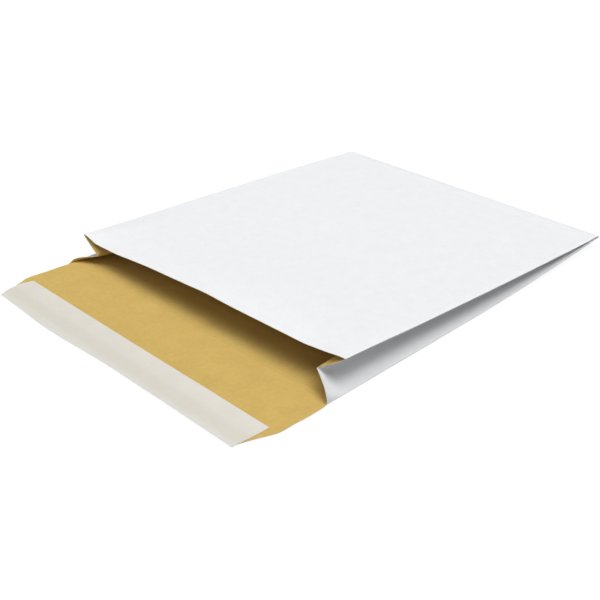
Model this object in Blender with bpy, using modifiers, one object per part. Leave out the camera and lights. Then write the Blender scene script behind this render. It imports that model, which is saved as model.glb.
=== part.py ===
"""Gusseted paper mailer, lying on its lower panel with the mouth open and the closing flap laid out.

Metres, +Z up. +Y runs from the mouth to the closed far end, and +X to the right as seen from the mouth.
The origin is on the floor, at the middle of the whole object.
"""

import math

import bmesh
import bpy

# The sheet
PAPER = 0.0003  # thickness
PLY_GAP = 0.00012  # air between plies that lie on each other
BAG_WIDTH = 0.250  # across the panels
BAG_LENGTH = 0.299  # from the flap's fold to the far fold
GUSSET = 0.040  # both halves of one side gusset, laid flat
SEAM_TAB = 0.015  # glue tab under the upper panel's left edge
CLOSURE_DEPTH = 0.030  # closure flap under the far end
CLOSURE_ANGLE = 16.0  # degrees that its ends are mitred

# How the pocket stands open
MOUTH_HEIGHT_LEFT = 0.0190  # floor to the top face, at the mouth's corners
MOUTH_HEIGHT_RIGHT = 0.0236
MOUTH_SETBACK_LEFT = 0.0085  # upper panel's edge behind the flap's fold
MOUTH_SETBACK_RIGHT = 0.0135
EDGE_BOW_LEFT = 0.0008  # the panel's long edges bow up on the left and sag on the right
EDGE_BOW_RIGHT = -0.0008
FAR_LIFT = 0.0066  # the far end stands off the floor
LIFTED_LENGTH = 0.149  # the length over which the lower panel rises to it
LIFT_POWER = 1.5
CROWN = 0.0019  # the upper panel rises behind the mouth
CROWN_PLACE = 0.028  # how far back it is highest
CROWN_EDGE = 0.015  # from the long edges in to its full height

# The side gussets at the mouth
APEX_SETBACK_LEFT = 0.0068  # the inner fold's end behind the flap's fold
APEX_SETBACK_RIGHT = 0.0080
EDGE_CURVE_LEFT = 1.0  # over 1, the lower half's cut edge runs back late
EDGE_CURVE_RIGHT = 1.6
FULLNESS_LEFT = 0.0  # the lower half's bow there: 0 is straight and 1 a quarter ellipse
FULLNESS_RIGHT = 1.0
CREASE_END = 0.0185  # the crease that ends the bow meets the lower fold here
CREASE_BEHIND_APEX = 0.003  # and the inner fold this far behind its end
CREASE_SOFTNESS = 1.2  # how smoothly the bow runs out at the crease
VALLEY_SOFTNESS = 0.0045  # extra radius of the inner fold behind the mouth
VALLEY_FADE = 0.016

# Two sags along the upper panel's mouth edge: place across, depth, half width
MOUTH_SAGS = ((-0.098, 0.0036, 0.026), (0.085, 0.0016, 0.024))
SAG_FADE = 0.035  # how far back they die away

# Closing flap, with its glue and liner
FLAP_DEPTH = 0.063
FLAP_FLARE = 0.0010  # its sides stand this far out past the pocket's
FLAP_FLARE_DEPTH = 0.005  # and reach that at this depth
FLAP_FULL_WIDTH_DEPTH = 0.0385  # before its ends taper
FLAP_TAPER = 19.0  # degrees
SEAT_GAP = 0.0003  # between pieces that lie on each other
ADHESIVE_WIDTH = 0.017
ADHESIVE_THICKNESS = 0.0002
ADHESIVE_MARGIN = 0.003  # inside the flap's outer edge and its ends there
LINER_WIDTH = 0.0263
LINER_THICKNESS = 0.0002
LINER_OVERHANG = 0.003  # past the flap's outer edge
LINER_SIDE_MARGIN = 0.005  # inside the flap's full width
LINER_END_TAPER = 0.0028
LINER_EDGE_BOW = 0.0015

# Divisions
FOLD_STEPS = 4
HALF_GUSSET_STEPS = 7
TAB_STEPS = 2
PANEL_STEPS = 16
LENGTH_STEPS = 26
FLAP_STEPS = 4  # for each of its three stretches
CLOSURE_FOLD_STEPS = 6
CLOSURE_STEPS = 3
STRIP_STEPS = 16

# Worked out from the sizes above
FOLD_RADIUS = (PAPER + PLY_GAP) / 2  # middle of the sheet, round a fold
PITCH = 2 * FOLD_RADIUS  # between the middles of neighbouring plies
HALF_WIDTH = (BAG_WIDTH - PAPER) / 2
FOLD_X = HALF_WIDTH - FOLD_RADIUS
PLIES_RIGHT = 3  # plies under the upper panel at the far end's corners
PLIES_LEFT = 4
CLOSURE_RADIUS = (PLIES_LEFT + 1) * PITCH / 2
PLY_END = BAG_LENGTH - CLOSURE_RADIUS - PAPER / 2  # where the plies end inside the far fold
LINER_REACH = FLAP_DEPTH + LINER_OVERHANG + LINER_EDGE_BOW
Y_SHIFT = (BAG_LENGTH - LINER_REACH) / 2


def mix(a, b, share):
    return a + (b - a) * share


def ease(value):
    """A smooth step from 0 to 1."""
    value = min(1.0, max(0.0, value))
    return value * value * (3 - 2 * value)


def clear_scene():
    for item in list(bpy.data.objects):
        bpy.data.objects.remove(item, do_unlink=True)


def lower_height(y):
    """Middle of the lower panel above the floor."""
    risen = max(0.0, (y - (PLY_END - LIFTED_LENGTH)) / LIFTED_LENGTH)
    return PAPER / 2 + FAR_LIFT * risen**LIFT_POWER


def edge_height(mouth_height, plies, bow, along):
    """Middle of the upper panel at one of its long edges."""
    mouth = mouth_height - PAPER / 2
    far = lower_height(PLY_END) + plies * PITCH
    return mix(mouth, far, along) + bow * 4 * along * (1 - along)


def upper_height(x, along):
    """Middle of the upper panel at any place across it."""
    y = along * PLY_END
    across = (x + HALF_WIDTH) / (2 * HALF_WIDTH)
    left = edge_height(MOUTH_HEIGHT_LEFT, PLIES_LEFT, EDGE_BOW_LEFT, along)
    right = edge_height(MOUTH_HEIGHT_RIGHT, PLIES_RIGHT, EDGE_BOW_RIGHT, along)
    sag = sum(depth * math.exp(-(((x - place) / half) ** 2)) for place, depth, half in MOUTH_SAGS)
    behind = y / CROWN_PLACE
    crown = CROWN * behind * math.exp(1 - behind) * ease((HALF_WIDTH - abs(x)) / CROWN_EDGE)
    return mix(left, right, across) + (crown - sag * math.exp(-y / SAG_FADE)) * (1 - along)


def setback(x, climb):
    """How far the cut edge at the mouth lies behind the flap's fold."""
    across = (x + HALF_WIDTH) / (2 * HALF_WIDTH)
    if climb >= 1:
        return mix(MOUTH_SETBACK_LEFT, MOUTH_SETBACK_RIGHT, across)
    if x < 0:
        corner, apex, curve = MOUTH_SETBACK_LEFT, APEX_SETBACK_LEFT, EDGE_CURVE_LEFT
    else:
        corner, apex, curve = MOUTH_SETBACK_RIGHT, APEX_SETBACK_RIGHT, EDGE_CURVE_RIGHT
    if climb > 0.5:
        return mix(apex, corner, 2 * climb - 1)
    return apex * (2 * climb) ** curve


def valley_radius(half_height, along):
    """Radius of a gusset's inner fold: crisp at the mouth and at the flattened far end."""
    behind_mouth = 1 - math.exp(-along * PLY_END / VALLEY_FADE)
    softness = min(VALLEY_SOFTNESS, half_height / 2)
    return FOLD_RADIUS + softness * behind_mouth * (1 - along)


def gusset_pins(side, along):
    """Centres of the bottom, inner and top folds on one side, as (x, z, radius, turn).

    The inner fold is where two half gussets of equal length meet.
    """
    y = along * PLY_END
    x = side * FOLD_X
    bottom = lower_height(y) + FOLD_RADIUS
    plies_over = FOLD_RADIUS if side > 0 else FOLD_RADIUS + PITCH
    top = upper_height(x, along) - plies_over
    half_height = (top - bottom) / 2
    depth = math.sqrt((GUSSET / 2) ** 2 - half_height**2)
    radius = valley_radius(half_height, along)
    inner_x = x - side * (depth - radius)
    return (
        (x, bottom, FOLD_RADIUS, 1),
        (inner_x, bottom + half_height, radius, -1),
        (x, top, FOLD_RADIUS, 1),
    )


def heading_between(first, second):
    """Direction of the sheet where it runs straight from one fold to the next."""
    dx, dz = second[0] - first[0], second[1] - first[1]
    offset = second[3] * second[2] - first[3] * first[2]
    return math.atan2(dz, dx) - math.asin(offset / math.hypot(dx, dz))


def on_pin(pin, heading):
    x, z, radius, turn = pin
    return x + turn * radius * math.sin(heading), z - turn * radius * math.cos(heading)


def round_pin(pin, heading_in, heading_out):
    """Points of the sheet as it turns round one fold."""
    turn = pin[3]
    sweep = (turn * (heading_out - heading_in)) % (2 * math.pi)
    steps = range(FOLD_STEPS + 1)
    return [on_pin(pin, heading_in + turn * sweep * step / FOLD_STEPS) for step in steps]


def between(start, end, steps):
    """Points strictly between two, on a straight line."""
    shares = [step / steps for step in range(1, steps)]
    return [(mix(start[0], end[0], share), mix(start[1], end[1], share)) for share in shares]


def lower_half(side, along, low, inner):
    """Points strictly between a gusset's lower fold and its inner one, bowed out in front of the crease."""
    fullness = FULLNESS_LEFT if side < 0 else FULLNESS_RIGHT
    apex = APEX_SETBACK_LEFT if side < 0 else APEX_SETBACK_RIGHT
    found = []
    for place, (x, z) in enumerate(between(low, inner, HALF_GUSSET_STEPS), start=1):
        share = place / HALF_GUSSET_STEPS
        turn = share * math.pi / 2
        front = setback(side * HALF_WIDTH, share / 2)
        crease = mix(CREASE_END, apex + CREASE_BEHIND_APEX, share)
        ahead = max(0.0, 1 - along * (PLY_END - front) / (crease - front))
        weight = fullness * ahead**CREASE_SOFTNESS
        full_x = mix(inner[0], low[0], math.cos(turn))
        full_z = mix(low[1], inner[1], math.sin(turn))
        found.append((mix(x, full_x, weight), mix(z, full_z, weight)))
    return found


def section(along):
    """The sheet's way round the pocket at one place along it.

    It starts at the seam tab's free edge and ends at the upper panel's left edge. Each point is
    (x, z, climb), where climb runs from 0 on the lower panel to 1 on the upper one. Also returns
    the first and last places of the lower panel and the first of the upper one.
    """
    left_low, left_inner, left_top = gusset_pins(-1, along)
    right_low, right_inner, right_top = gusset_pins(1, along)
    points = []

    def add(new, climb_from, climb_to):
        for place, (x, z) in enumerate(new):
            share = place / max(1, len(new) - 1)
            points.append((x, z, mix(climb_from, climb_to, share)))

    def add_half(new, climb_from, climb_to):
        step = (climb_to - climb_from) / HALF_GUSSET_STEPS
        add(new, climb_from + step, climb_to - step)

    tab_edge = -FOLD_X + SEAM_TAB
    for step in range(TAB_STEPS):
        x = mix(tab_edge, -FOLD_X, step / TAB_STEPS)
        points.append((x, upper_height(x, along) - PITCH, 1.0))

    down_upper = heading_between(left_top, left_inner)
    down_lower = heading_between(left_inner, left_low)
    add(round_pin(left_top, math.pi, down_upper), 1.0, 1.0)
    upper = between(on_pin(left_top, down_upper), on_pin(left_inner, down_upper), HALF_GUSSET_STEPS)
    add_half(upper, 1.0, 0.5)
    add(round_pin(left_inner, down_upper, down_lower), 0.5, 0.5)
    lower = lower_half(-1, along, on_pin(left_low, down_lower), on_pin(left_inner, down_lower))
    add_half(lower[::-1], 0.5, 0.0)
    add(round_pin(left_low, down_lower, 2 * math.pi), 0.0, 0.0)

    lower_first = len(points) - 1
    floor = lower_height(along * PLY_END)
    add(between((-FOLD_X, floor), (FOLD_X, floor), PANEL_STEPS), 0.0, 0.0)
    lower_last = len(points)

    up_lower = heading_between(right_low, right_inner)
    up_upper = heading_between(right_inner, right_top)
    add(round_pin(right_low, 0.0, up_lower), 0.0, 0.0)
    lower = lower_half(1, along, on_pin(right_low, up_lower), on_pin(right_inner, up_lower))
    add_half(lower, 0.0, 0.5)
    add(round_pin(right_inner, up_lower, up_upper), 0.5, 0.5)
    upper = between(on_pin(right_inner, up_upper), on_pin(right_top, up_upper), HALF_GUSSET_STEPS)
    add_half(upper, 0.5, 1.0)
    add(round_pin(right_top, up_upper, math.pi), 1.0, 1.0)

    upper_first = len(points) - 1
    for step in range(1, PANEL_STEPS + 1):
        x = mix(FOLD_X, -HALF_WIDTH, step / PANEL_STEPS)
        points.append((x, upper_height(x, along), 1.0))
    return points, lower_first, lower_last, upper_first


def flap_half_width(depth):
    """Half the flap's width at a depth out from its fold."""
    tapered = max(0.0, depth - FLAP_FULL_WIDTH_DEPTH) * math.tan(math.radians(FLAP_TAPER))
    return BAG_WIDTH / 2 + FLAP_FLARE * ease(depth / FLAP_FLARE_DEPTH) - tapered


def flap_depths():
    """Depths of the flap's rows: through its flare, its full width and its taper."""
    found = []
    start = 0.0
    for end in (FLAP_FLARE_DEPTH, FLAP_FULL_WIDTH_DEPTH, FLAP_DEPTH):
        found += [mix(start, end, step / FLAP_STEPS) for step in range(1, FLAP_STEPS + 1)]
        start = end
    return found


def add_row(mesh, points):
    return [mesh.verts.new((x, y - Y_SHIFT, z)) for x, y, z in points]


def join_rows(mesh, near, far):
    """Faces between two rows, turned so that they face out of the pocket."""
    for place in range(len(near) - 1):
        mesh.faces.new((near[place], far[place], far[place + 1], near[place + 1]))


def build_pocket(mesh):
    """Panels and gussets, from the mouth to the ends of the plies."""
    rows = []
    for step in range(LENGTH_STEPS + 1):
        along = (1 - math.cos(math.pi * step / LENGTH_STEPS)) / 2
        points, lower_first, lower_last, upper_first = section(along)
        placed = [(x, along * PLY_END + setback(x, climb) * (1 - along), z) for x, z, climb in points]
        rows.append(add_row(mesh, placed))
    for near, far in zip(rows, rows[1:]):
        join_rows(mesh, near, far)
    return rows[0][lower_first : lower_last + 1], rows[-1][upper_first:]


def build_flap(mesh, fold_row):
    """The closing flap, laid flat in front of the mouth."""
    near = fold_row
    for depth in flap_depths():
        half = flap_half_width(depth)
        steps = range(PANEL_STEPS + 1)
        points = [(mix(-half, half, step / PANEL_STEPS), -depth, PAPER / 2) for step in steps]
        far = add_row(mesh, points)
        join_rows(mesh, far, near)
        near = far


def build_closure(mesh, fold_row):
    """The upper panel's end, folded round the far end and back under the lower panel."""
    under = lower_height(PLY_END) - PITCH
    tops = [(vert.co.x, vert.co.z) for vert in fold_row]
    near = fold_row
    for step in range(1, CLOSURE_FOLD_STEPS + 1):
        angle = math.pi * step / CLOSURE_FOLD_STEPS
        points = []
        for x, top in tops:
            radius = (top - under) / 2
            points.append((x, PLY_END + radius * math.sin(angle), under + radius * (1 + math.cos(angle))))
        far = add_row(mesh, points)
        join_rows(mesh, near, far)
        near = far
    for step in range(1, CLOSURE_STEPS + 1):
        depth = CLOSURE_DEPTH * step / CLOSURE_STEPS
        narrowed = 1 - depth * math.tan(math.radians(CLOSURE_ANGLE)) / HALF_WIDTH
        y = PLY_END - depth
        far = add_row(mesh, [(x * narrowed, y, lower_height(y) - PITCH) for x, _ in tops])
        join_rows(mesh, near, far)
        near = far


def new_material(name, colour, roughness):
    material = bpy.data.materials.new(name)
    material.use_nodes = True
    shader = material.node_tree.nodes["Principled BSDF"]
    shader.inputs["Base Color"].default_value = (*colour, 1.0)
    shader.inputs["Roughness"].default_value = roughness
    shader.inputs["Metallic"].default_value = 0.0
    material.diffuse_color = (*colour, 1.0)
    return material


def new_sheet(name, mesh, thickness, materials, parts):
    """An object from an open surface, given its thickness evenly on both sides."""
    data = bpy.data.meshes.new(name)
    mesh.to_mesh(data)
    mesh.free()
    sheet = bpy.data.objects.new(name, data)
    for material in materials:
        data.materials.append(material)
    parts.objects.link(sheet)
    wall = sheet.modifiers.new("Sheet thickness", "SOLIDIFY")
    wall.thickness = thickness
    wall.offset = 0.0
    wall.material_offset = len(materials) - 1
    wall.material_offset_rim = len(materials) - 1
    data.shade_smooth()
    data.set_sharp_from_angle(angle=math.radians(40))
    return sheet


def build_body(parts):
    mesh = bmesh.new()
    flap_fold, far_fold = build_pocket(mesh)
    build_flap(mesh, flap_fold)
    build_closure(mesh, far_fold)
    white = new_material("white_face", (0.87, 0.88, 0.90), 0.6)
    kraft = new_material("kraft_face", (0.60, 0.42, 0.18), 0.8)
    return new_sheet("mailer_body", mesh, PAPER, (white, kraft), parts)


def build_strip(name, inner_half, outer_half, inner_y, outer_y, bow, height, thickness, material, parts):
    """A flat strip across the flap, its outer edge bowed out by a little."""
    mesh = bmesh.new()
    inner, outer = [], []
    for step in range(STRIP_STEPS + 1):
        share = step / STRIP_STEPS
        inner.append((mix(-inner_half, inner_half, share), inner_y, height))
        edge_y = outer_y - bow * math.sin(math.pi * share)
        outer.append((mix(-outer_half, outer_half, share), edge_y, height))
    join_rows(mesh, add_row(mesh, inner), add_row(mesh, outer))
    return new_sheet(name, mesh, thickness, (material,), parts)


def build_adhesive(parts):
    outer = FLAP_DEPTH - ADHESIVE_MARGIN
    half = flap_half_width(FLAP_DEPTH) - ADHESIVE_MARGIN
    height = PAPER + SEAT_GAP + ADHESIVE_THICKNESS / 2
    glue = new_material("adhesive", (0.80, 0.76, 0.62), 0.35)
    ends = (half, half, ADHESIVE_WIDTH - outer, -outer)
    return build_strip("adhesive_strip", *ends, 0.0, height, ADHESIVE_THICKNESS, glue, parts)


def build_liner(parts):
    outer = FLAP_DEPTH + LINER_OVERHANG
    half = BAG_WIDTH / 2 - LINER_SIDE_MARGIN
    height = PAPER + 2 * SEAT_GAP + ADHESIVE_THICKNESS + LINER_THICKNESS / 2
    paper = new_material("liner_paper", (0.72, 0.69, 0.60), 0.45)
    ends = (half, half - LINER_END_TAPER, LINER_WIDTH - outer, -outer)
    return build_strip("release_liner", *ends, LINER_EDGE_BOW, height, LINER_THICKNESS, paper, parts)


def main():
    clear_scene()
    parts = bpy.data.collections.new("gusseted_paper_mailer")
    bpy.context.scene.collection.children.link(parts)
    build_body(parts)
    build_adhesive(parts)
    build_liner(parts)


main()
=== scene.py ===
import math

import bmesh
import bpy
from mathutils import Matrix, Vector, noise


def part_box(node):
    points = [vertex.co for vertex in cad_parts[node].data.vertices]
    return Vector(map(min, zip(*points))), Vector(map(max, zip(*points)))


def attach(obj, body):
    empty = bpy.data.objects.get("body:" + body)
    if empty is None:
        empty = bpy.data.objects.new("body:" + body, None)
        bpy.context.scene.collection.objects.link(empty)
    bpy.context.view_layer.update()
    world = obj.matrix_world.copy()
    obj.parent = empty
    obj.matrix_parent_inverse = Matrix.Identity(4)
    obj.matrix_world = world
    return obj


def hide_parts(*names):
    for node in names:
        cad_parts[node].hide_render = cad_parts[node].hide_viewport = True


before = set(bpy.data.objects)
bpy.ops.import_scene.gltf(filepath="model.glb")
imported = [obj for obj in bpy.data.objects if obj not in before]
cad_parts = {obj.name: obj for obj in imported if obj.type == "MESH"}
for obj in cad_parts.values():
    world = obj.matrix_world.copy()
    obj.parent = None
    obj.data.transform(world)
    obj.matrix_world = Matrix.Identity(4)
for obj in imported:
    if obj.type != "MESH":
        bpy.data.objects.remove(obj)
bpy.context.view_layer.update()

print("frame loaded:", ", ".join(sorted(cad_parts)))

# The folded sheet. y runs from the flap's fold to the far end, x to the right, z up
mailer = {
    "paper": 0.0003,
    "plyGap": 0.00012,  # air between two plies that lie flat
    "length": 0.299,
    "gusset": 0.040,
    "seamTab": 0.015,
    "closureDepth": 0.030,
    "closureAngle": 16.0,  # degrees that its sides taper
    "farLift": 0.0066,  # how high the far end stands off the table
    "liftedLength": 0.149,
    "liftPower": 1.5,
    "panelWaves": 0.0004,  # height of the upper panel's unevenness
    "wavesStart": 0.03,  # they grow to it over this length
    "edgeReachLeft": 0.014,  # how far back the mouth edge's waviness goes
    "edgeReachRight": 0.026,
    "crown": 0.0019,  # the upper panel bulges behind the mouth
    "crownPlace": 0.028,
    "crownEdge": 0.35,  # share of it at the right edge
    "crownFade": 0.015,  # width over which it fades out to that
    "farRoll": 0.0004,  # it rises over the plies before the far fold
    "farRollReach": 0.014,
    "farRollPower": 0.6,
    "floorWaves": 0.00012,
    "waveSize": 0.055,
    "valleySoftness": 0.0050,  # radius that the gussets' inner folds gain behind the mouth
    "valleyFade": 0.010,
    "valleyHalf": 0.009,  # gussets lower than twice this fold sharper
    # How far back each of the sides' values below dies away, or starts
    "shallowStart": 0.012,
    "softReach": 0.045,
    "looseReach": 0.070,
    "dropReach": 0.03,
    "creaseBehind": 0.003,  # how far behind the apex the gusset's crease begins
    "creasePower": 1.2,
    "cornerStart": 0.085,  # from here out the lower panel's mouth edge runs forward to its corners
    "cornerWidth": 0.040,
    # Faint folds across the lower panel, as (y, height, first x, last x) in mm
    "creases": ((1.0, 0.12, -118, 118), (3.7, 0.36, 97, 119), (6.1, 0.28, 103, 114)),
    "creaseWidth": 0.9,
    "creaseEnds": 4,
}

# Each side's gusset and long edge, -1 for the left one and 1 for the right one.
# The apex is the mouth end of the gusset's inner fold
sides = {
    -1: {
        "height": 0.0190,  # of the upper panel's corner at the mouth
        "setback": 0.0085,  # of that corner, behind the flap's fold
        "cornerForward": 0.0060,  # how far in front of the flap's fold the lower half begins
        "apexSetback": 0.0068,
        "apexDrop": 0.0008,
        "apexIn": 0.0,  # how much deeper in the apex lies
        "shallow": 0.0,  # how much less deep the gusset is behind it
        "softNear": 0.0,  # how much softer its inner fold is there
        "edgeCurve": 0.5,  # over 1, the lower half's edge runs back late
        "upperCurve": 1.0,  # and so for the upper half's
        "bow": 0.0008,  # of the long edge, upward
        "sway": -0.00045,  # its near half up and its far half down
        "plies": 4,
        "fullness": -0.10,  # bow of the lower half at the mouth, 1 for a quarter ellipse
        "creaseEnd": 0.016,
        "looseBow": 0.0,  # the bow that stays behind the crease
        "lowerLip": 0.0022,  # how far the cut edge curls outward
        "lipSkew": 0.4,  # under 1, most of it is low down
        "lowerLipReach": 0.005,
        "upperLip": 0.0006,
        "upperLipReach": 0.003,
    },
    1: {
        "height": 0.0236,
        "setback": 0.0135,
        "cornerForward": 0.0008,
        "apexSetback": 0.0080,
        "apexDrop": -0.0008,
        "apexIn": 0.0006,
        "shallow": 0.0030,
        "softNear": 1.2,
        "edgeCurve": 1.9,
        "upperCurve": 0.55,
        "bow": -0.0008,
        "sway": 0.0,
        "plies": 3,
        "fullness": 1.0,
        "creaseEnd": 0.0185,
        "looseBow": 0.30,
        "lowerLip": 0.0,
        "lipSkew": 1.0,
        "lowerLipReach": 0.005,
        "upperLip": 0.0005,
        "upperLipReach": 0.0035,
    },
}

# Where the upper panel's mouth edge leaves the straight line between its corners: (x, height), in mm
mouthEdge = (
    (-125, 0.0), (-122, -0.3), (-117, -1.9), (-112, -3.3), (-100, -3.6), (-88, -3.6), (-77, -2.9),
    (-54, -1.6), (-33, -1.1), (-12, -0.6), (7, -0.1), (26, -0.9), (44, -1.3), (62, -1.5),
    (79, -1.75), (95, -1.9), (103, -1.2), (111, -0.5), (119, 0.5), (125, 0.9),
)

# How finely each stretch is divided
steps = {
    "fold": 5,
    "half": 16,
    "tab": 12,
    "panel": 64,
    "length": 110,
    "flap": 22,
    "closureFold": 8,
    "closure": 12,
}

paperHalf = mailer["paper"] / 2
foldRadius = (mailer["paper"] + mailer["plyGap"]) / 2
pitch = 2 * foldRadius
cadLow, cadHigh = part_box("mailer_body")
halfWidth = (cadHigh.x - cadLow.x) / 2 - paperHalf
foldX = halfWidth - foldRadius
plyEnd = mailer["length"] - 2.5 * pitch - paperHalf
mouthLine = cadHigh.y - mailer["length"]  # the flap's fold in the frame's own y


def mix(a, b, share):
    return a + (b - a) * share


def held(value):
    return min(1.0, max(0.0, value))


def ease(value):
    value = held(value)
    return value * value * (3 - 2 * value)


def waves(x, y, size, seed):
    return noise.noise(Vector((x / size, y / size, seed)))


# Smooth curve through a row of (place, value) points
def curveThrough(points, place):
    last = len(points) - 2
    found = next((n for n in range(last + 1) if place < points[n + 1][0]), last)
    x0, y0 = points[found]
    x1, y1 = points[found + 1]
    xa, ya = points[max(0, found - 1)]
    xb, yb = points[min(last + 1, found + 2)]
    slope0 = (y1 - ya) / (x1 - xa)
    slope1 = (yb - y0) / (xb - x0)
    width = x1 - x0
    t = held((place - x0) / width)
    start = y0 * (1 + 2 * t) * (1 - t) ** 2 + slope0 * width * t * (1 - t) ** 2
    return start + y1 * t * t * (3 - 2 * t) + slope1 * width * t * t * (t - 1)


def lowerHeight(y):
    risen = max(0.0, (y - (plyEnd - mailer["liftedLength"])) / mailer["liftedLength"])
    return paperHalf + mailer["farLift"] * risen ** mailer["liftPower"]


def creaseHeight(x, y):
    total = 0
    for place, height, first, last in mailer["creases"]:
        ends = ease((x * 1000 - first) / mailer["creaseEnds"]) * ease((last - x * 1000) / mailer["creaseEnds"])
        total += height * ends * math.exp(-(((y * 1000 - place) / mailer["creaseWidth"]) ** 2))
    return total / 1000


def edgeHeight(side, along):
    own = sides[side]
    far = lowerHeight(plyEnd) + own["plies"] * pitch
    bowed = own["bow"] * 4 * along * (1 - along) + own["sway"] * math.sin(2 * math.pi * along)
    return mix(own["height"] - paperHalf, far, along) + bowed


def upperHeight(x, along):
    y = along * plyEnd
    across = (x + halfWidth) / (2 * halfWidth)
    level = mix(edgeHeight(-1, along), edgeHeight(1, along), across)
    reach = mix(mailer["edgeReachLeft"], mailer["edgeReachRight"], ease((x + halfWidth) / 0.030))
    edge = curveThrough(mouthEdge, x * 1000) / 1000 * math.exp(-y / reach)
    uneven = mailer["panelWaves"] * waves(x, y, mailer["waveSize"], 3.1) * ease(y / mailer["wavesStart"])
    behind = y / mailer["crownPlace"]
    fullness = mix(mailer["crownEdge"] if x > 0 else 0.0, 1.0, ease((halfWidth - abs(x)) / mailer["crownFade"]))
    crown = mailer["crown"] * behind * math.exp(1 - behind) * fullness
    beforeFold = held((plyEnd - y) / mailer["farRollReach"]) ** mailer["farRollPower"]
    roll = mailer["farRoll"] * math.sin(math.pi * beforeFold)
    return level + (edge + uneven + crown) * (1 - along) + roll


# The middle fold of a gusset is where two half gussets of equal length meet
def gussetPins(side, along):
    y = along * plyEnd
    x = side * foldX
    bottom = lowerHeight(y) + foldRadius
    own = sides[side]
    top = upperHeight(x, along) - foldRadius - (pitch if side < 0 else 0)
    half = (top - bottom) / 2
    opened = 1 - math.exp(-y / mailer["shallowStart"])
    depth = math.sqrt((mailer["gusset"] / 2) ** 2 - half ** 2) + own["apexIn"] * (1 - opened)
    depth -= own["shallow"] * opened * math.exp(-((y / mailer["looseReach"]) ** 2))
    soft = mailer["valleySoftness"] * (1 - math.exp(-y / mailer["valleyFade"])) * (1 - along)
    soft *= 1 + own["softNear"] * math.exp(-((y / mailer["softReach"]) ** 2))
    radius = foldRadius + soft * min(1.0, half / mailer["valleyHalf"])
    inner = x - side * (depth - radius)
    middle = bottom + half - own["apexDrop"] * math.exp(-y / mailer["dropReach"])
    return (x, bottom, foldRadius, 1), (inner, middle, radius, -1), (x, top, foldRadius, 1)


def headingBetween(first, second):
    dx, dz = second[0] - first[0], second[1] - first[1]
    offset = second[3] * second[2] - first[3] * first[2]
    return math.atan2(dz, dx) - math.asin(offset / math.hypot(dx, dz))


def onPin(pin, heading):
    x, z, radius, turn = pin
    return x + turn * radius * math.sin(heading), z - turn * radius * math.cos(heading)


def roundPin(pin, headingIn, headingOut):
    turn = pin[3]
    sweep = (turn * (headingOut - headingIn)) % (2 * math.pi)
    return [onPin(pin, headingIn + turn * sweep * n / steps["fold"]) for n in range(steps["fold"] + 1)]


# How far back the sheet's cut edge lies at the mouth, for a climb of 0 (lower panel) to 1 (upper panel)
def edgeSetback(x, climb):
    left, right = sides[-1], sides[1]
    across = (x + halfWidth) / (2 * halfWidth)
    if climb >= 1:
        return mix(left["setback"], right["setback"], across)
    own = left if x < 0 else right
    if climb > 0.5:
        return mix(own["apexSetback"], own["setback"], (climb * 2 - 1) ** own["upperCurve"])
    nearCorner = ease((abs(x) - mailer["cornerStart"]) / mailer["cornerWidth"])
    start = own["cornerForward"] * (1 if climb else nearCorner)
    return mix(-start, own["apexSetback"], (climb * 2) ** own["edgeCurve"])


# A point moved out of the pocket, square to the half gusset's line from low to high
def pushedOut(side, low, high, place, amount):
    dx, dz = high[0] - low[0], high[1] - low[1]
    length = math.hypot(dx, dz)
    return place[0] + side * dz / length * amount, place[1] - side * dx / length * amount


# In front of a crease from the gusset's inner fold down to the lower one, the lower half bows out
def lowerHalfPoint(side, along, corner, apex, share):
    own = sides[side]
    turn = share * math.pi / 2
    place = (mix(corner[0], apex[0], share), mix(corner[1], apex[1], share))
    full = (mix(apex[0], corner[0], math.cos(turn)), mix(corner[1], apex[1], math.sin(turn)))
    front = edgeSetback(corner[0], share / 2)
    behind = along * (plyEnd - front)
    crease = mix(own["creaseEnd"], own["apexSetback"] + mailer["creaseBehind"], share)
    weight = own["fullness"] * held(1 - behind / (crease - front)) ** mailer["creasePower"]
    loose = own["looseBow"] * math.exp(-((behind / mailer["looseReach"]) ** 2)) * (1 - along)
    weight = weight + loose * (1 - weight)
    place = (mix(place[0], full[0], weight), mix(place[1], full[1], weight))
    lip = own["lowerLip"] * math.sin(math.pi * share ** own["lipSkew"])
    return pushedOut(side, corner, apex, place, lip * held(1 - behind / own["lowerLipReach"]) ** 2)


def upperHalfPoint(side, along, apex, corner, share):
    own = sides[side]
    place = (mix(apex[0], corner[0], share), mix(apex[1], corner[1], share))
    behind = along * (plyEnd - edgeSetback(corner[0], (1 + share) / 2))
    lip = own["upperLip"] * math.sin(math.pi * share)
    return pushedOut(side, apex, corner, place, lip * held(1 - behind / own["upperLipReach"]) ** 2)


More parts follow.
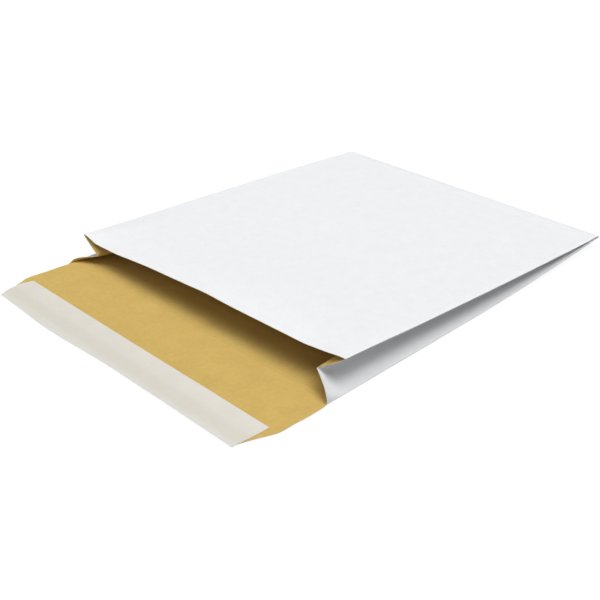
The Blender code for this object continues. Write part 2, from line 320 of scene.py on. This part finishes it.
# The sheet's way round the pocket at one place along it, as (x, z, climb) from the seam tab to the left edge
def section(along):
    leftLow, leftInner, leftTop = gussetPins(-1, along)
    rightLow, rightInner, rightTop = gussetPins(1, along)
    way = []
    halves = steps["half"]

    def add(points, climb):
        way.extend((x, z, climb) for x, z in points)

    def half(point, side, low, high, climb, falling):
        order = range(halves - 1, 0, -1) if falling else range(1, halves)
        for n in order:
            x, z = point(side, along, low, high, n / halves)
            way.append((x, z, climb + n / halves / 2))

    for n in range(steps["tab"]):
        x = mix(-foldX + mailer["seamTab"], -foldX, n / steps["tab"])
        way.append((x, upperHeight(x, along) - pitch, 1.0))
    downUpper = headingBetween(leftTop, leftInner)
    downLower = headingBetween(leftInner, leftLow)
    add(roundPin(leftTop, math.pi, downUpper), 1.0)
    half(upperHalfPoint, -1, onPin(leftInner, downUpper), onPin(leftTop, downUpper), 0.5, True)
    add(roundPin(leftInner, downUpper, downLower), 0.5)
    half(lowerHalfPoint, -1, onPin(leftLow, downLower), onPin(leftInner, downLower), 0.0, True)
    add(roundPin(leftLow, downLower, 2 * math.pi), 0.0)

    lowerFirst = len(way) - 1
    y = along * plyEnd
    for n in range(1, steps["panel"]):
        x = mix(-foldX, foldX, n / steps["panel"])
        rise = mailer["floorWaves"] * (1 + waves(x, y, mailer["waveSize"], 8.4)) * ease((foldX - abs(x)) / 0.01)
        way.append((x, lowerHeight(y) + creaseHeight(x, y) + rise * (1 - along), 0.0))
    lowerLast = len(way)

    upLower = headingBetween(rightLow, rightInner)
    upUpper = headingBetween(rightInner, rightTop)
    add(roundPin(rightLow, 0.0, upLower), 0.0)
    half(lowerHalfPoint, 1, onPin(rightLow, upLower), onPin(rightInner, upLower), 0.0, False)
    add(roundPin(rightInner, upLower, upUpper), 0.5)
    half(upperHalfPoint, 1, onPin(rightInner, upUpper), onPin(rightTop, upUpper), 0.5, False)
    add(roundPin(rightTop, upUpper, math.pi), 1.0)

    upperFirst = len(way) - 1
    for n in range(1, steps["panel"] + 1):
        x = mix(foldX, -halfWidth, n / steps["panel"])
        way.append((x, upperHeight(x, along), 1.0))
    return way, lowerFirst, lowerLast, upperFirst


def addRow(mesh, points):
    return [mesh.verts.new((x, y + mouthLine, z)) for x, y, z in points]


def joinRows(mesh, near, far):
    for n in range(len(near) - 1):
        mesh.faces.new((near[n], far[n], far[n + 1], near[n + 1]))


def pocketRows(mesh):
    rows = []
    for n in range(steps["length"] + 1):
        along = (1 - math.cos(math.pi * n / steps["length"])) / 2
        way, lowerFirst, lowerLast, upperFirst = section(along)
        row = [(x, along * plyEnd + edgeSetback(x, climb) * (1 - along), z) for x, z, climb in way]
        rows.append(addRow(mesh, row))
    for near, far in zip(rows, rows[1:]):
        joinRows(mesh, near, far)
    return rows[0][lowerFirst : lowerLast + 1], rows[-1][upperFirst:]


# The closing flap, laid out in front of the mouth
flap = {
    "depth": 0.063,
    # Half its width down each side, as (depth, half width) in mm
    "edge": {
        -1: (
            (0, 125.85), (4, 125.8), (9, 125.4), (24, 125.5), (31, 125.9),
            (38, 126.4), (41, 126.4), (44, 125.1), (63, 118.0),
        ),
        1: (
            (0, 125.85), (4, 126.4), (10, 126.9), (20, 127.0), (26, 126.6), (38, 126.4),
            (41, 125.8), (44.5, 124.3), (55.6, 119.8), (63, 117.2),
        ),
    },
    "arch": 0.0004,  # how high it stands between its fold and its outer edge
    "middleArch": 0.35,  # share of it halfway across
    "foldShare": 0.12,  # depth over which it takes over from the fold's own height
    "waves": 0.00012,
    "waveSize": 0.045,
}


def flapHeight(x, y):
    depth = held(-y / flap["depth"])
    outward = mix(flap["middleArch"], 1.0, ease(abs(x) / 0.125))
    arch = flap["arch"] * math.sin(math.pi * depth) ** 0.8 * outward
    uneven = flap["waves"] * (1 + waves(x, y, flap["waveSize"], 21.7)) * ease(depth * 3)
    return paperHalf + arch + uneven


def flapEdge(side, depth):
    return side * curveThrough(flap["edge"][side], depth * 1000) / 1000


def flapRows(mesh, foldRow):
    starts = [(mouthLine - vert.co.y, vert.co.z) for vert in foldRow]
    near = foldRow
    for n in range(1, steps["flap"] + 1):
        share = (n / steps["flap"]) ** 1.5
        row = []
        for m, (start, height) in enumerate(starts):
            depth = mix(start, flap["depth"], share)
            x = mix(flapEdge(-1, depth), flapEdge(1, depth), m / steps["panel"])
            row.append((x, -depth, mix(height, flapHeight(x, -depth), ease(share / flap["foldShare"]))))
        far = addRow(mesh, row)
        joinRows(mesh, far, near)
        near = far


# The upper panel's end, folded round the far end and glued back under the lower panel
def closureRows(mesh, foldRow):
    under = lowerHeight(plyEnd) - pitch
    tops = [(vert.co.x, vert.co.z) for vert in foldRow]
    near = foldRow
    for n in range(1, steps["closureFold"] + 1):
        angle = math.pi * n / steps["closureFold"]
        row = []
        for x, top in tops:
            radius = (top - under) / 2
            row.append((x, plyEnd + radius * math.sin(angle), under + radius * (1 + math.cos(angle))))
        far = addRow(mesh, row)
        joinRows(mesh, near, far)
        near = far
    for n in range(1, steps["closure"] + 1):
        depth = mailer["closureDepth"] * n / steps["closure"]
        narrowed = 1 - depth * math.tan(math.radians(mailer["closureAngle"])) / halfWidth
        y = plyEnd - depth
        far = addRow(mesh, [(x * narrowed, y, lowerHeight(y) - pitch) for x, _ in tops])
        joinRows(mesh, near, far)
        near = far


# An open surface given its thickness: first material outside, second inside, last on the cut edges
def solidSheet(name, mesh, thickness, materials):
    data = bpy.data.meshes.new(name)
    mesh.to_mesh(data)
    mesh.free()
    sheet = bpy.data.objects.new(name, data)
    bpy.context.scene.collection.objects.link(sheet)
    for material in materials:
        data.materials.append(material)
    wall = sheet.modifiers.new("Sheet thickness", "SOLIDIFY")
    wall.thickness = thickness
    wall.offset = 0
    wall.material_offset = min(1, len(materials) - 1)
    wall.material_offset_rim = len(materials) - 1
    ready = sheet.evaluated_get(bpy.context.evaluated_depsgraph_get())
    sheet.data = bpy.data.meshes.new_from_object(ready)
    sheet.modifiers.clear()
    sheet.data.name = name
    sheet.data.shade_smooth()
    sheet.data.set_sharp_from_angle(angle=math.radians(50))
    return sheet


# Paper: mottled colour, a fine tooth, and fibres that run one way
def paperMaterial(name, look):
    material = bpy.data.materials.new(name)
    material.use_nodes = True
    nodes, links = material.node_tree.nodes, material.node_tree.links
    shader = nodes["Principled BSDF"]
    shader.inputs["Specular IOR Level"].default_value = look["shine"]
    place = nodes.new("ShaderNodeTexCoord")

    def speckle(scale, detail, stretch=(1, 1, 1)):
        turned = nodes.new("ShaderNodeMapping")
        turned.inputs["Scale"].default_value = stretch
        links.new(place.outputs["Object"], turned.inputs["Vector"])
        texture = nodes.new("ShaderNodeTexNoise")
        texture.inputs["Scale"].default_value = scale
        texture.inputs["Detail"].default_value = detail
        links.new(turned.outputs["Vector"], texture.inputs["Vector"])
        return texture.outputs["Fac"]

    def ramp(source, low, high, start=0.35, end=0.65):
        node = nodes.new("ShaderNodeMapRange")
        node.inputs["From Min"].default_value = start
        node.inputs["From Max"].default_value = end
        node.inputs["To Min"].default_value = low
        node.inputs["To Max"].default_value = high
        links.new(source, node.inputs["Value"])
        return node.outputs["Result"]

    cloud = speckle(look["cloudScale"], 3)
    fibre = speckle(look["fibreScale"], 4, look["fibreStretch"])
    tooth = speckle(look["toothScale"], 2)

    blend = nodes.new("ShaderNodeMix")
    blend.data_type = "RGBA"
    blend.inputs["A"].default_value = (*look["light"], 1)
    blend.inputs["B"].default_value = (*look["dark"], 1)
    if "across" in look:
        apart = nodes.new("ShaderNodeSeparateXYZ")
        links.new(place.outputs["Object"], apart.inputs["Vector"])
        bands = nodes.new("ShaderNodeValToRGB")
        bands.color_ramp.interpolation = "EASE"
        while len(bands.color_ramp.elements) < len(look["bands"]):
            bands.color_ramp.elements.new(0.5)
        for element, (at, colour) in zip(bands.color_ramp.elements, look["bands"]):
            element.position = at
            element.color = (*colour, 1)
        links.new(ramp(apart.outputs["Y"], 0, 1, *look["across"]), bands.inputs["Fac"])
        links.new(bands.outputs["Color"], blend.inputs["A"])
    mottle = nodes.new("ShaderNodeMath")
    mottle.operation = "ADD"
    links.new(ramp(cloud, 0, look["cloudDepth"]), mottle.inputs[0])
    links.new(ramp(fibre, 0, look["fibreDepth"]), mottle.inputs[1])
    links.new(mottle.outputs["Value"], blend.inputs["Factor"])
    links.new(blend.outputs["Result"], shader.inputs["Base Color"])
    links.new(ramp(fibre, look["roughness"] - 0.06, look["roughness"] + 0.06), shader.inputs["Roughness"])

    relief = nodes.new("ShaderNodeMath")
    relief.operation = "ADD"
    links.new(ramp(tooth, 0, look["toothDepth"], 0, 1), relief.inputs[0])
    links.new(ramp(cloud, 0, look["cockle"], 0, 1), relief.inputs[1])
    bump = nodes.new("ShaderNodeBump")
    bump.inputs["Strength"].default_value = 1
    bump.inputs["Distance"].default_value = 1
    links.new(relief.outputs["Value"], bump.inputs["Height"])
    links.new(bump.outputs["Normal"], shader.inputs["Normal"])
    return material


whitePaper = {
    "light": (0.838, 0.848, 0.862),
    "dark": (0.785, 0.797, 0.815),
    "roughness": 0.62,
    "shine": 0.35,
    "cloudScale": 110,
    "cloudDepth": 0.30,
    "cockle": 0.00005,  # metres
    "fibreScale": 420,
    "fibreStretch": (1.0, 0.7, 1.0),
    "fibreDepth": 0.30,
    "toothScale": 1900,
    "toothDepth": 0.00003,
}
kraftPaper = dict(
    whitePaper,
    light=(0.612, 0.430, 0.127),
    dark=(0.507, 0.338, 0.090),
    roughness=0.74,
    shine=0.25,
    cloudScale=70,
    fibreScale=500,
    fibreDepth=0.25,
)
# The cut edges' cream is the paper edge's own colour, lightened past it as a painted highlight along the rims
cutEdgeWithPaintedHighlight = dict(
    whitePaper,
    light=(0.930, 0.870, 0.710),
    dark=(0.830, 0.750, 0.560),
    roughness=0.85,
    shine=0.15,
    fibreScale=1600,
    toothDepth=0.00002,
)
# The liner is thin enough for the glue line under it to show as a warmer band
linerPaper = dict(
    whitePaper,
    light=(0.718, 0.690, 0.624),
    dark=(0.640, 0.602, 0.530),
    across=(mouthLine - 0.0399, mouthLine - 0.0665),
    bands=(
        (0.00, (0.716, 0.692, 0.636)),
        (0.35, (0.718, 0.690, 0.624)),
        (0.60, (0.675, 0.642, 0.566)),
        (0.76, (0.675, 0.642, 0.566)),
        (0.88, (0.703, 0.688, 0.634)),
        (1.00, (0.715, 0.702, 0.655)),
    ),
    roughness=0.48,
    shine=0.45,
    cloudScale=60,
    cockle=0.00003,
    fibreScale=520,
    fibreDepth=0.15,
    toothDepth=0.000015,
)
gluePaste = dict(
    whitePaper,
    light=(0.800, 0.760, 0.620),
    dark=(0.720, 0.670, 0.500),
    roughness=0.30,
    shine=0.5,
    cloudScale=120,
    cockle=0.00012,
    fibreDepth=0.1,
    toothDepth=0.00001,
)


def buildMailer():
    mesh = bmesh.new()
    flapFold, farFold = pocketRows(mesh)
    flapRows(mesh, flapFold)
    closureRows(mesh, farFold)
    white = paperMaterial("whiteFace", whitePaper)
    kraft = paperMaterial("kraftFace", kraftPaper)
    edge = paperMaterial("cutEdgeWithPaintedHighlight", cutEdgeWithPaintedHighlight)
    piece = solidSheet("mailerPaper", mesh, mailer["paper"], (white, kraft, edge))
    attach(piece, "root")
    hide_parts("mailer_body")


# Glue and liner lie across the flap, the liner past the flap's outer edge. Ends are (share of the width, x)
strips = {
    "bowPlace": -0.055,  # where the liner's outer edge bows forward
    "bowReach": 0.042,
    "curlOuter": 0.25,  # shares of the liner's width that curl up
    "curlInner": 0.12,
    "innerHeight": 0.5,  # the inner curl's height beside the outer one's
    "curlWaves": 0.04,
    "glue": {
        "inner": -0.043,
        "outer": -0.060,
        "ends": {-1: ((0, 0.1138), (1, 0.1138)), 1: ((0, 0.1138), (1, 0.1138))},
        "bow": 0.0,
        "height": 0.0002,
        "thickness": 0.0001,
        "curl": 0.0,
        "rows": 6,
        "columns": 64,
    },
    "liner": {
        "inner": -0.0399,
        "outer": -0.0658,
        "ends": {
            -1: ((0, 0.1190), (0.3, 0.1216), (0.5, 0.1213), (0.72, 0.1206), (1, 0.1171)),
            1: ((0, 0.1195), (0.5, 0.1188), (1, 0.1178)),
        },
        "bow": 0.0027,
        "height": 0.00034,
        "thickness": 0.0001,
        "curl": 0.0003,
        "rows": 20,
        "columns": 90,
    },
}


def buildStrip(name, look, node):
    form = strips[name]
    mesh = bmesh.new()
    near = None
    for n in range(form["rows"] + 1):
        share = n / form["rows"]
        left = -curveThrough(form["ends"][-1], share)
        right = curveThrough(form["ends"][1], share)
        row = []
        for m in range(form["columns"] + 1):
            x = mix(left, right, m / form["columns"])
            bowed = form["bow"] * math.exp(-((x - strips["bowPlace"]) / strips["bowReach"]) ** 2)
            y = mix(form["inner"], form["outer"] - bowed, share)
            edge = ease((share - 1 + strips["curlOuter"]) / strips["curlOuter"])
            edge += ease((strips["curlInner"] - share) / strips["curlInner"]) * strips["innerHeight"]
            curl = form["curl"] * edge * (0.7 + waves(x, 0, strips["curlWaves"], 33.1))
            z = flapHeight(x, max(y, -flap["depth"])) + form["height"] + curl
            row.append((x, y, z))
        far = addRow(mesh, row)
        if near:
            joinRows(mesh, far, near)
        near = far
    piece = solidSheet(name + "Strip", mesh, form["thickness"], (paperMaterial(name + "Face", look),))
    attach(piece, "root")
    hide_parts(node)


buildMailer()
print("mailer folded")
buildStrip("glue", gluePaste, "adhesive_strip")
buildStrip("liner", linerPaper, "release_liner")
print("glue and liner laid on the flap")

# The set: a pale floor that glows like a light table, a white dome, a dim sky and five soft lamps
studio = {
    "floorSize": 16.0,
    "domeRadius": 7.5,
    "floorColour": (0.12, 0.12, 0.12),
    "floorGlow": 0.90,
    "sky": 0.15,
    "below": 0.03,  # light that a table throws back up
    "skyColour": (0.985, 0.992, 1.0),
    # Lamps as (name, from, spread in degrees, strength, colour)
    "suns": (
        ("top", (0.0, 0.0, 1.0), 60, 1.46, (1.0, 0.997, 0.99)),
        ("key", (0.15, 0.25, 1.0), 45, 0.55, (1.0, 0.997, 0.99)),
        ("right", (0.50, 0.10, 1.0), 30, 0.84, (1.0, 1.0, 1.0)),
        ("low", (0.70, -0.70, 0.15), 60, 0.60, (1.0, 1.0, 1.0)),
        ("fill", (-0.60, -0.80, 0.40), 50, 0.38, (1.0, 1.0, 1.0)),
    ),
}


# A stage piece that shows behind the mailer but neither lights nor shades it
def stagePiece(name, colour, glow, mirrored):
    piece = bpy.context.object
    piece.name = name
    material = bpy.data.materials.new(name + "Face")
    material.use_nodes = True
    shader = material.node_tree.nodes["Principled BSDF"]
    shader.inputs["Base Color"].default_value = (*colour, 1)
    shader.inputs["Roughness"].default_value = 0.8
    shader.inputs["Specular IOR Level"].default_value = 0.1
    shader.inputs["Emission Color"].default_value = (1, 1, 1, 1)
    shader.inputs["Emission Strength"].default_value = glow
    piece.data.materials.append(material)
    piece.visible_diffuse = False
    piece.visible_shadow = False
    piece.visible_glossy = mirrored


def buildSet():
    bpy.ops.mesh.primitive_plane_add(size=studio["floorSize"])
    stagePiece("floor", studio["floorColour"], studio["floorGlow"], True)
    bpy.ops.mesh.primitive_uv_sphere_add(radius=studio["domeRadius"])
    stagePiece("dome", (0, 0, 0), 1.0, False)

    world = bpy.data.worlds.new("sky")
    world.use_nodes = True
    nodes, links = world.node_tree.nodes, world.node_tree.links
    background = nodes["Background"]
    background.inputs["Color"].default_value = (*studio["skyColour"], 1)
    place = nodes.new("ShaderNodeTexCoord")
    apart = nodes.new("ShaderNodeSeparateXYZ")
    level = nodes.new("ShaderNodeMapRange")
    level.inputs["From Min"].default_value = -0.02
    level.inputs["From Max"].default_value = 0.02
    level.inputs["To Min"].default_value = studio["below"]
    level.inputs["To Max"].default_value = studio["sky"]
    links.new(place.outputs["Generated"], apart.inputs["Vector"])
    links.new(apart.outputs["Z"], level.inputs["Value"])
    links.new(level.outputs["Result"], background.inputs["Strength"])
    bpy.context.scene.world = world

    for name, source, spread, strength, colour in studio["suns"]:
        data = bpy.data.lights.new(name, "SUN")
        data.energy = strength
        data.angle = math.radians(spread)
        data.color = colour
        lamp = bpy.data.objects.new(name, data)
        lamp.rotation_euler = (-Vector(source)).to_track_quat("-Z", "Y").to_euler()
        bpy.context.scene.collection.objects.link(lamp)


# Camera solved from the photograph: degrees, metres, and the focal length for a 600 pixel wide picture
shot = {
    "azimuth": 44.5,
    "elevation": 28.95,
    "roll": 0.65,
    "distance": 0.6526,
    "target": (0.0286, 0.0753, 0.0),
    "focalPixels": 961.7,
}


def placeCamera():
    azimuth, elevation, roll = (math.radians(shot[name]) for name in ("azimuth", "elevation", "roll"))
    level = math.cos(elevation)
    back = Vector((math.sin(azimuth) * level, -math.cos(azimuth) * level, math.sin(elevation)))
    right = (-back).cross(Vector((0, 0, 1))).normalized()
    up = right.cross(-back)
    sideways = right * math.cos(roll) + up * math.sin(roll)
    upright = up * math.cos(roll) - right * math.sin(roll)
    target = Vector(shot["target"]) + Vector((0, mouthLine, 0))

    data = bpy.data.cameras.new("photoCamera")
    data.sensor_width = 36
    data.lens = shot["focalPixels"] * data.sensor_width / 600
    data.clip_start = 0.01
    data.clip_end = 50
    data.dof.use_dof = False
    camera = bpy.data.objects.new("photoCamera", data)
    turned = Matrix((sideways, upright, back)).transposed().to_4x4()
    camera.matrix_world = Matrix.Translation(target + back * shot["distance"]) @ turned
    bpy.context.scene.collection.objects.link(camera)
    bpy.context.scene.camera = camera
    bpy.context.scene.view_settings.view_transform = "Standard"


buildSet()
placeCamera()
print("set and camera ready")
